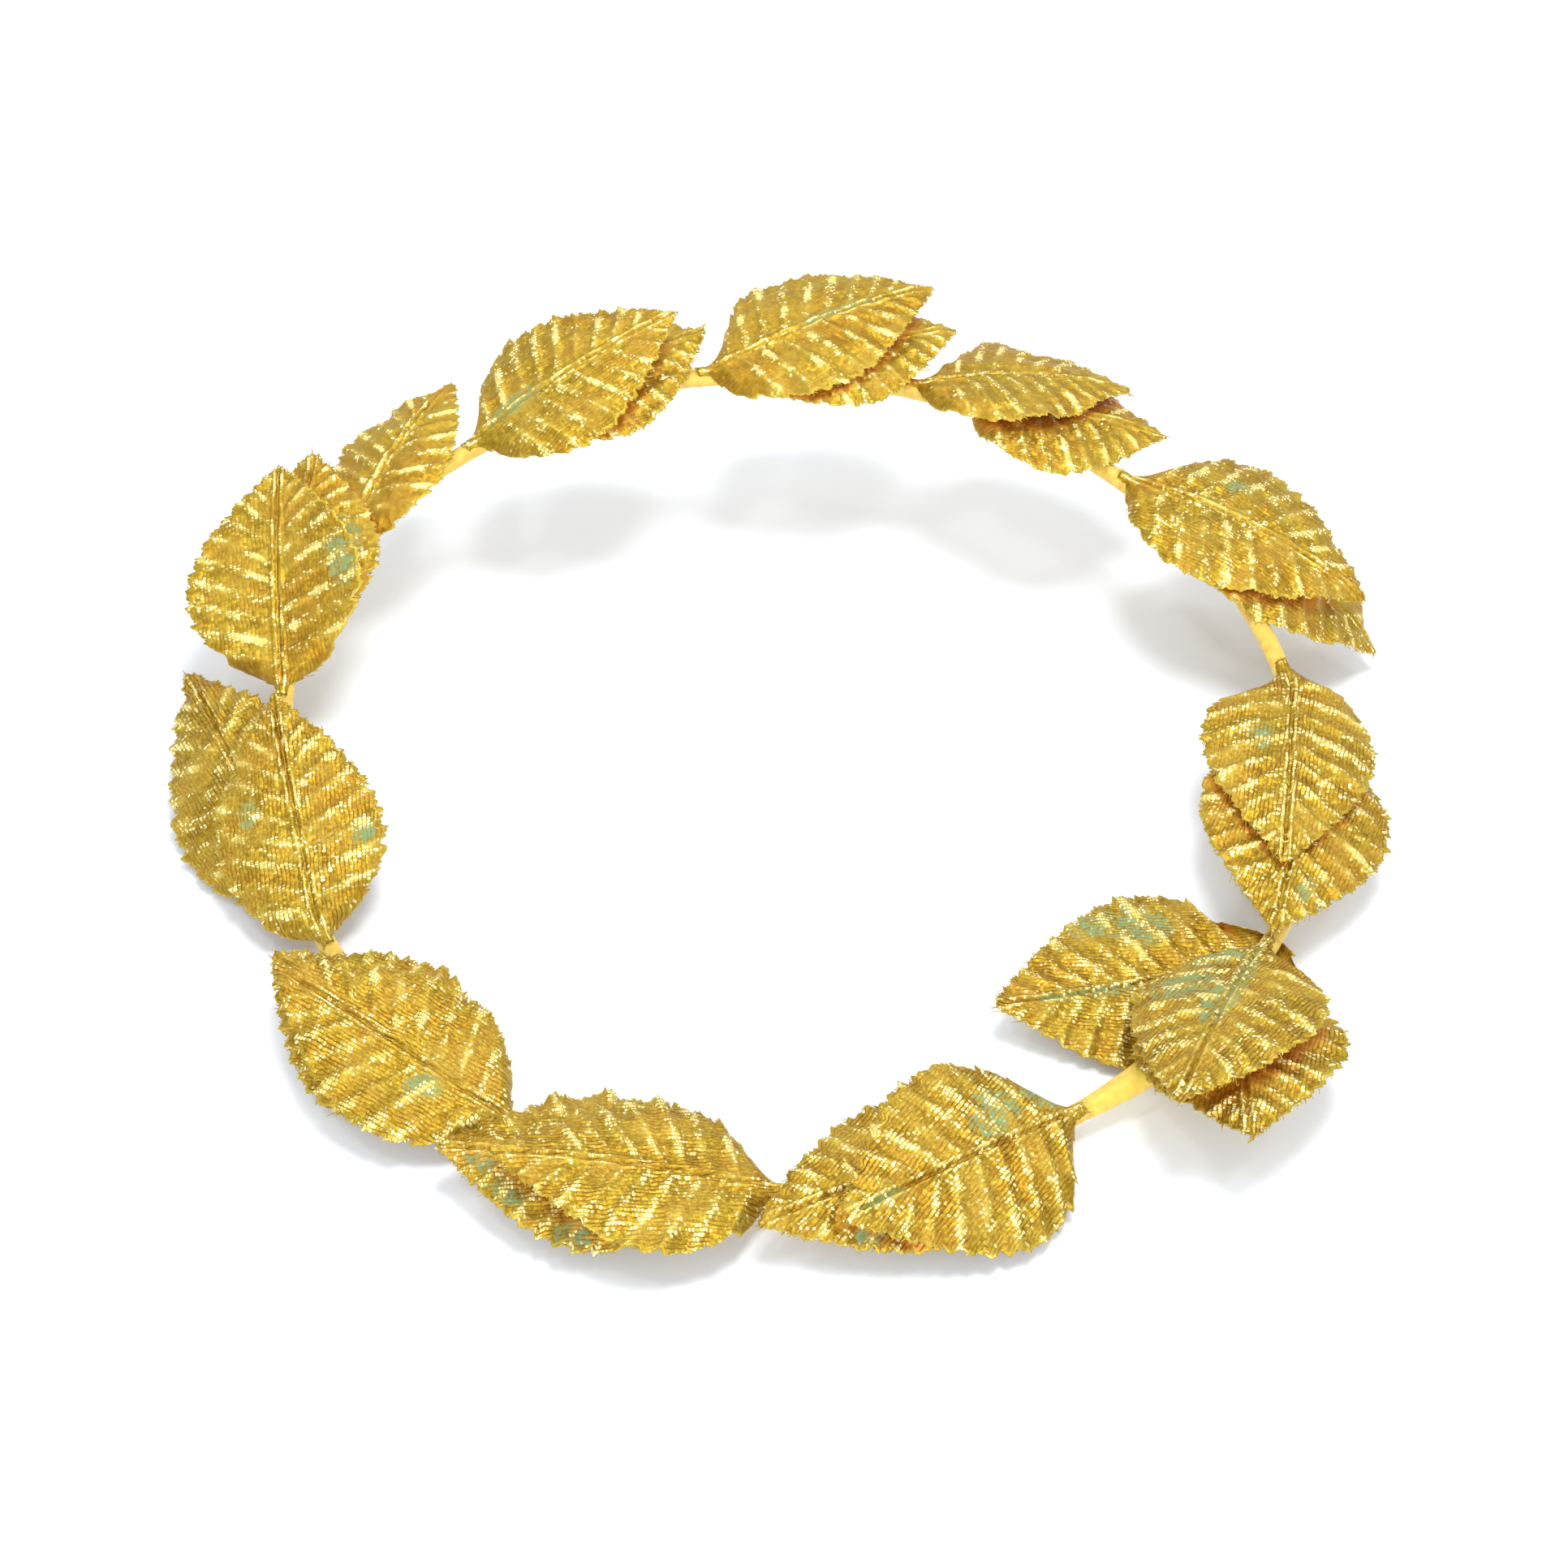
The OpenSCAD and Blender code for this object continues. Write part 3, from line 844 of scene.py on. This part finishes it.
# Noises of the cloth: scale, detail and roughness
NOISES = {
    "cluster": (0.2, 3.0, 0.5),
    "matte": (0.11, 3.0, 0.5),
    "warm": (0.08, 2.0, 0.5),
    "lined": (0.16, 2.0, 0.5),
    "ragged": (0.9, 4.0, 0.7),
    "grain": (1.3, 3.0, 0.65),
}

# Noises drawn out along the threads: scale along, step from thread to thread, place in the noise
DRAWN = {
    "thread": (0.35, 0.9, 0.0),
    "dashed": (0.55, 7.3, 3.0),
}

# From a pattern's value to the strength it gives
RAMPS = {
    "matte": [(0.48, 0.0), (0.62, 1.0)],
    "warm": [(0.46, 0.0), (0.64, 0.45)],
    "dark grain": [(0.36, 0.65), (0.50, 0.0)],
    "light grain": [(0.50, 0.0), (0.66, 0.7)],
    "painted_sheen": [(0.42, 0.10), (0.60, 0.58)],
    "shaded": [(0.08, 0.0), (0.42, 0.8)],
    "deep": [(0.42, 0.0), (0.80, 0.7)],
    "gap": [(0.20, 1.0), (0.72, 0.0)],
    "lined": [(0.38, 0.25), (0.58, 1.0)],
    "dashed": [(0.38, 0.1), (0.52, 1.0)],
    "ragged": [(0.38, 0.2), (0.56, 1.0)],
    "worn": [(0.22, 0.0), (0.42, 1.0)],
    "worn stitch": [(0.20, 0.35), (0.34, 0.95)],
    "rim": [(0.95, 0.0), (0.99, 0.7)],
    "crest glint": [(0.38, 0.15), (0.58, 1.0)],
    "stray glint": [(0.46, 0.06), (0.66, 0.34)],
    "flare": [(0.50, 0.0), (0.60, 1.0)],
}

# Colours of the cloth, from thread to glint. The sheen, shaded, deep, rim, flare and glint colours are
# painted highlights, painted shade and painted glints, not the cloth's own colours
THREAD_COLOURS = [
    (0.30, linear(148, 108, 20)),
    (0.50, linear(167, 136, 34)),
    (0.70, linear(187, 163, 56)),
]
GOLD = {
    "matte": linear(178, 145, 44),
    "warm": linear(178, 124, 24),
    "dark grain": linear(152, 106, 20),
    "light grain": linear(212, 186, 70),
    "painted_sheen": linear(216, 188, 80),
    "shaded": linear(214, 136, 32),
    "deep": linear(178, 92, 24),
    "gap": linear(116, 78, 14),
    "worn": linear(124, 152, 104),
    "rim": linear(208, 181, 66),
    "flare": linear(252, 234, 146),
    "glint": linear(246, 212, 84),
    "white glint": linear(255, 249, 184),
}


class GoldCloth(Nodes):
    """Flat metal threads lying side by side, each held down by a fine binding thread."""

    def __init__(self):
        super().__init__("gold_lame")
        self.uv = self.cloth_place()
        self.crest = self.attribute("crest")
        self.cover = self.attribute("cover")
        self.satin = self.attribute("satin")
        self.open_weave = self.all_but(self.satin, SATIN_CLOSES)
        self.lay_threads()
        self.cluster = self.noise(self.uv, *NOISES["cluster"])
        self.matte = self.patches("matte")
        # painted shade: the share of sky that near leaves hide sets how orange and dark the cloth is
        # painted
        self.shaded = self.ramp(self.cover, RAMPS["shaded"])
        base = self.woven_colour()
        base, gap = self.add_gaps(base)
        base, wear = self.add_wear(base, gap)
        # painted light: the outermost edge of every leaf is painted a lighter gold
        base = self.tinted(base, self.ramp(self.attribute("reach"), RAMPS["rim"]), "rim")
        # painted highlight: light run together over the crests
        base = self.tinted(base, self.flare(), "flare")
        # painted glints: single stitches are mixed towards pale gold and white
        glint = self.glint()
        glint_colour = self.mix(self.parts(self.tint)[0], GOLD["glint"], GOLD["white glint"])
        base = self.mix(glint, base, glint_colour)
        self.finish(base, wear, glint)

    def patches(self, name):
        """How strongly a named pattern shows in each part of the cloth."""
        return self.ramp(self.noise(self.uv, *NOISES[name]), RAMPS[name])

    def tinted(self, base, strength, name):
        """The base colour with a named gold laid over it."""
        return self.mix(strength, base, GOLD[name])

    def drawn(self, name):
        """Noise drawn out along the threads, one value to a thread."""
        along_scale, thread_step, offset = DRAWN[name]
        along = self.times(self.along, along_scale)
        across = self.times(self.thread, thread_step)
        return self.noise(self.joined(along, across, offset), 1.0)

    def lay_threads(self):
        """Number the wavering threads and the stitches on each, and give every stitch its chance."""
        cloth = self.uv
        for scale, size in WAVER:
            waver = self.noise(self.uv, scale, 1.0, output="Color")
            cloth = self.vector("ADD", cloth, self.vector("MULTIPLY", waver, (size, size, 0.0)))
        self.along, self.across = self.parts(cloth)[:2]
        lane = self.math("DIVIDE", self.across, THREAD)
        self.thread = self.math("FLOOR", lane)
        self.round_thread = self.hump(lane)
        step = self.plus(self.math("DIVIDE", self.along, BINDING), self.times(self.thread, BINDING_SHIFT))
        self.round_step = self.hump(step)
        cell = self.joined(self.math("FLOOR", step), self.thread)
        white = self.feed(self.new("TexWhiteNoise", noise_dimensions="2D"), {"Vector": cell})
        self.fleck, self.tint = white.outputs["Value"], white.outputs["Color"]
        grain_place = self.joined(self.along, self.times(self.across, GRAIN_ACROSS))
        self.grain = self.noise(grain_place, *NOISES["grain"])

    def woven_colour(self):
        """Threads of several golds, dull, warm and grainy in places, with a painted highlight on the vein
        crests and painted orange shade where leaves hide the sky.
        """
        base = self.ramp(self.drawn("thread"), THREAD_COLOURS)
        dull = self.times(self.math("MAXIMUM", self.matte, self.satin), DULL_SHARE)
        base = self.tinted(base, dull, "matte")
        base = self.tinted(base, self.patches("warm"), "warm")
        for name in ("dark grain", "light grain"):
            strength = self.times(self.ramp(self.grain, RAMPS[name]), self.open_weave)
            base = self.tinted(base, strength, name)
        # painted highlight: a lighter gold laid along the vein crests where the cluster noise is strong
        painted_sheen = self.times(self.crest, self.ramp(self.cluster, RAMPS["painted_sheen"]))
        base = self.tinted(base, painted_sheen, "painted_sheen")
        # painted shade: orange where near leaves hide the sky, a deeper orange where they hide the most
        base = self.tinted(base, self.shaded, "shaded")
        return self.tinted(base, self.ramp(self.cover, RAMPS["deep"]), "deep")

    def add_gaps(self, base):
        """Dark lines between the threads, in dashes and stronger in some places."""
        gap = self.times(
            self.ramp(self.round_thread, RAMPS["gap"]),
            self.patches("lined"),
            self.ramp(self.drawn("dashed"), RAMPS["dashed"]),
            self.all_but(self.matte, MATTE_HIDES_GAP),
            self.open_weave,
        )
        return self.tinted(base, gap, "gap"), gap

    def add_wear(self, base, gap):
        """Ragged patches where the gold is gone, least on the crests of the veins."""
        wear = self.ramp(self.times(self.attribute("worn"), self.patches("ragged")), RAMPS["worn"])
        wear = self.times(
            wear,
            self.all_but(self.crest, CREST_HIDES_WEAR),
            self.ramp(self.fleck, RAMPS["worn stitch"]),
            self.all_but(gap, GAP_HIDES_WEAR),
        )
        return self.tinted(base, wear, "worn"), wear

    def flare(self):
        """Light run together over the crests, mostly on satin cloth."""
        flare = self.times(self.crest, self.ramp(self.cluster, RAMPS["flare"]))
        flare = self.times(self.minus(self.plus(flare, self.grain), FLARE_START), FLARE_GAIN)
        smooth = self.plus(FLARE_OPEN, self.times(self.satin, FLARE_SATIN))
        return self.times(self.clamped(flare, FLARE_MOST), self.minus(1.0, self.shaded), smooth)

    def glint(self):
        """Single stitches that catch the light, thickest on the crests of the veins."""
        on_crest = self.times(self.crest, self.ramp(self.cluster, RAMPS["crest glint"]))
        stray = self.times(self.ramp(self.cluster, RAMPS["stray glint"]), self.open_weave)
        chance = self.times(
            self.plus(on_crest, stray),
            self.all_but(self.matte, MATTE_HIDES_GLINT),
            self.all_but(self.shaded, SHADE_HIDES_GLINT),
        )
        lit = self.clamped(self.times(self.minus(self.plus(self.fleck, chance), 1.0), GLINT_GAIN))
        inset = self.plus(self.times(self.parts(self.tint)[1], DOT_INSET_SPREAD), DOT_INSET)
        dot = self.minus(self.times(self.round_thread, self.round_step), inset)
        return self.times(lit, self.clamped(self.times(dot, DOT_GAIN)))

    def finish(self, base, wear, glint):
        """Set the shader: each stitch leans its own way, over threads and bindings in relief."""
        rough = self.minus(ROUGHNESS, self.times(glint, GLINT_SMOOTHER))
        rough = self.plus(rough, self.times(self.matte, MATTE_ROUGHER))
        rough = self.plus(rough, self.times(wear, WORN_ROUGHER))
        metal = self.times(
            self.minus(METALLIC, self.times(self.matte, MATTE_LESS_METAL)),
            self.all_but(self.shaded, SHADE_HIDES_METAL),
            self.all_but(wear, WORN_HIDES_METAL),
            self.all_but(glint, GLINT_HIDES_METAL),
        )
        tilt = self.vector("MULTIPLY", self.vector("SUBTRACT", self.tint, MIDDLE), FACET_TILT)
        tilt = self.vector("ADD", tilt, LEVEL)
        facet = self.feed(self.new("NormalMap", uv_map="cloth"), {"Strength": 1.0, "Color": tilt})
        threads = self.times(self.math("POWER", self.round_thread, THREAD_POWER), self.open_weave)
        bindings = self.plus(1 - BINDING_RELIEF, self.times(self.round_step, BINDING_RELIEF))
        height = self.times(threads, bindings)
        relief = {"Strength": RELIEF_STRENGTH, "Distance": THREAD_RELIEF, "Height": height}
        bump = self.feed(self.new("Bump"), {**relief, "Normal": facet.outputs[0]})
        surface = {"Base Color": base, "Roughness": rough, "Metallic": metal, "Normal": bump.outputs[0]}
        self.feed(self.shader, surface)


# Paper tape: slant of its edge, how its fibres are drawn out along and across, its relief in metres
TAPE_SLANT = 0.32
FIBRE_ALONG = 0.4
FIBRE_ACROSS = 2.4
FIBRE_NOISE = (1.6, 4.0)
FIBRE_RELIEF = 0.7
TAPE_RELIEF = 0.00012
TAPE_RELIEF_STRENGTH = 0.5
TAPE_ROUGHNESS = 0.55
TAPE_SHEEN = 0.15
MOTTLE_NOISE = (0.5, 3.0)
MOTTLE = [(0.35, 0.0), (0.7, 0.7)]
DARK_EDGE = [(0.0, 0.5), (0.10, 0.0)]
EDGE_STEP = [(0.0, 0.0), (0.12, 1.0)]
STEM_COLOURS = (linear(226, 192, 80), linear(198, 152, 48))
SPLICE_COLOURS = (linear(228, 198, 82), linear(208, 170, 56))


def bound_paper(name, colours, pitch):
    """Crepe paper tape wound round the stem, darker in patches and along its overlapping edge."""
    pale, dark = colours
    n = Nodes(name)
    uv = n.cloth_place()
    along, around = n.parts(uv)[:2]
    slant = n.plus(along, n.times(around, TAPE_SLANT))
    edge = n.math("FRACT", n.math("DIVIDE", slant, pitch))
    fibre_place = n.joined(n.times(slant, FIBRE_ALONG), n.times(around, FIBRE_ACROSS))
    fibre = n.noise(fibre_place, *FIBRE_NOISE)
    base = n.mix(n.ramp(n.noise(uv, *MOTTLE_NOISE), MOTTLE), pale, dark)
    base = n.mix(n.ramp(edge, DARK_EDGE), base, dark)
    height = n.plus(n.times(fibre, FIBRE_RELIEF), n.ramp(edge, EDGE_STEP))
    relief = {"Strength": TAPE_RELIEF_STRENGTH, "Distance": TAPE_RELIEF, "Height": height}
    bump = n.feed(n.new("Bump"), relief)
    n.feed(n.shader, {"Base Color": base, "Normal": bump.outputs[0]})
    n.feed(n.shader, {"Roughness": TAPE_ROUGHNESS, "Sheen Weight": TAPE_SHEEN})
    return n.material


def wound(run, angle, _ring):
    """Radius of the stem wound with tape: a small groove at the edge of every turn."""
    place = (run / STEM_PITCH + angle / (2 * math.pi)) % 1.0
    near = min(place, 1 - place) / TAPE_GROOVE_SHARE
    return STEM_D / 2 - TAPE_GROOVE * math.exp(-(near**2))


def swell(_run, _angle, ring):
    """Radius of the tape over the joint: full by the last leaves, the stem's own at the first leaf."""
    outer = STEM_D / 2 + SPLICE_GAP + SPLICE_T
    low = STEM_D / 2 + SPLICE_CLEAR
    f = ring / (SPLICE_RINGS - 1)
    fade = (1 - f) ** SPLICE_TAPER * float(ease(f / SPLICE_END + SPLICE_END_START))
    return low + (outer - low) * fade


def build_stem():
    turns = [-360 * i / STEM_RINGS for i in range(STEM_RINGS)]
    paper = bound_paper("stem_paper", STEM_COLOURS, STEM_PITCH)
    stem = tube("bound_stem", turns, wound, STEM_SIDES, True, paper)
    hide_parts("hoop_stem")
    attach(stem, "root")

    splice_turn = turn_of(SPLICE_L, HOOP_R * hoop_share(SPLICE_START, RADIUS))
    turns = [SPLICE_START + splice_turn * (1 - i / (SPLICE_RINGS - 1)) for i in range(SPLICE_RINGS)]
    paper = bound_paper("splice_paper", SPLICE_COLOURS, SPLICE_PITCH)
    tape = tube("splice_tape", turns, swell, SPLICE_SIDES, False, paper)
    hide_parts("splice_wrap")
    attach(tape, "root")


def build_floor():
    n = Nodes("white_paper")
    n.feed(n.shader, {"Base Color": FLOOR_COLOUR, "Roughness": FLOOR_ROUGHNESS})
    bpy.ops.mesh.primitive_plane_add(size=FLOOR_SIZE)
    floor = bpy.context.object
    floor.name = "floor"
    floor.data.materials.append(n.material)


def build_lights():
    for name, place, size, power in LIGHTS:
        data = bpy.data.lights.new(name, "AREA")
        data.shape = "DISK"
        data.size = size
        data.energy = power
        data.color = LIGHT_COLOUR
        light = bpy.data.objects.new(name, data)
        light.location = place
        light.rotation_euler = (-Vector(place)).to_track_quat("-Z", "Y").to_euler()
        bpy.context.scene.collection.objects.link(light)


def build_sky():
    """A studio that is brightest at the horizon."""
    world = bpy.data.worlds.new("studio")
    bpy.context.scene.world = world
    world.use_nodes = True
    tree = world.node_tree
    background = tree.nodes["Background"]
    place = tree.nodes.new("ShaderNodeTexCoord")
    split = tree.nodes.new("ShaderNodeSeparateXYZ")
    ramp = tree.nodes.new("ShaderNodeValToRGB")
    tree.links.new(place.outputs["Generated"], split.inputs[0])
    tree.links.new(split.outputs[2], ramp.inputs[0])
    for element, position, colour in zip(ramp.color_ramp.elements, (0.0, 1.0), (HORIZON, ZENITH)):
        element.position = position
        element.color = colour
    tree.links.new(ramp.outputs[0], background.inputs[0])
    background.inputs[1].default_value = SKY_STRENGTH


def build_camera():
    data = bpy.data.cameras.new("camera")
    data.sensor_width = SENSOR
    data.lens = PX_PER_MM * CAMERA_DISTANCE * SENSOR / PHOTO_PX
    data.clip_start = CLIP_START
    camera = bpy.data.objects.new("camera", data)
    bpy.context.scene.collection.objects.link(camera)
    up = math.radians(CAMERA_ELEVATION)
    back = Vector((0, -math.cos(up), math.sin(up)))
    target = Vector(CAMERA_TARGET) * MM
    camera.location = target + back * CAMERA_DISTANCE * MM
    camera.rotation_euler = back.to_track_quat("Z", "Y").to_euler()
    bpy.context.scene.camera = camera


def main():
    bpy.context.scene.view_settings.view_transform = "Standard"
    build_camera()
    build_floor()
    build_sky()
    build_lights()
    build_stem()
    cloth = GoldCloth().material
    leaves = [build_leaf(row, index, cloth) for index, row in enumerate(LEAVES)]
    shade_leaves(leaves)


main()
